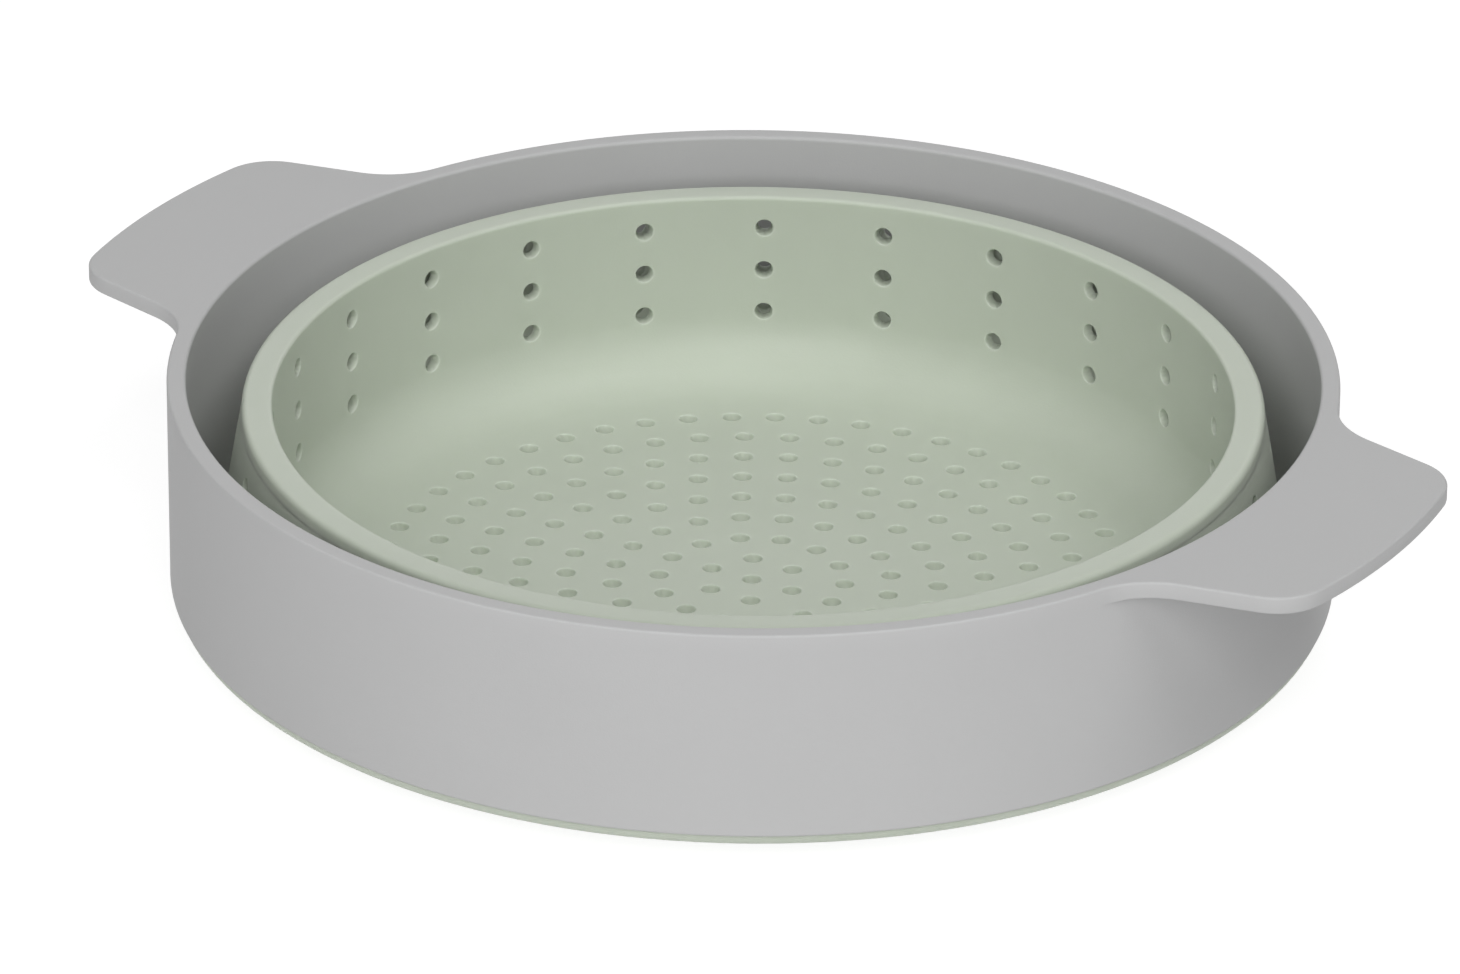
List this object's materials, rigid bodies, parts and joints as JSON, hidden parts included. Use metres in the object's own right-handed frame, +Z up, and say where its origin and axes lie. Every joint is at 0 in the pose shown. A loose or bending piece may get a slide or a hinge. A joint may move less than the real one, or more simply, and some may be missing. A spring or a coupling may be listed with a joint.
{
  "type": "folding steamer basket",
  "caption": "Round perforated silicone steamer basket folded up inside a rigid collar with tab handles; the basket drops down through the collar to its deep shape.",
  "frame": {"origin": "under the middle of the basket's floor, at the height of its underside", "axes": "+X along the line of the two tab handles, +Z up out of the basket"},
  "size_m": [0.301, 0.2438, 0.051],
  "materials": {
    "grey_nylon": "fine satin moulding, pale neutral grey",
    "sage_silicone": "soft satin moulding, pale sage green"
  },
  "bodies": {
    "collar": {"collar": "grey_nylon", "foot_ring": "sage_silicone", "outer_layer": "sage_silicone"},
    "basket": {"basket_wall": "sage_silicone", "basket_corner": "sage_silicone", "basket_floor": "sage_silicone"}
  },
  "joints": [
    {"name": "basket_drop", "type": "slide", "parent": "collar", "child": "basket", "axis": [0, 0, -1], "range_m": [0, 0.062], "deforming": ["outer_layer"]}
  ]
}
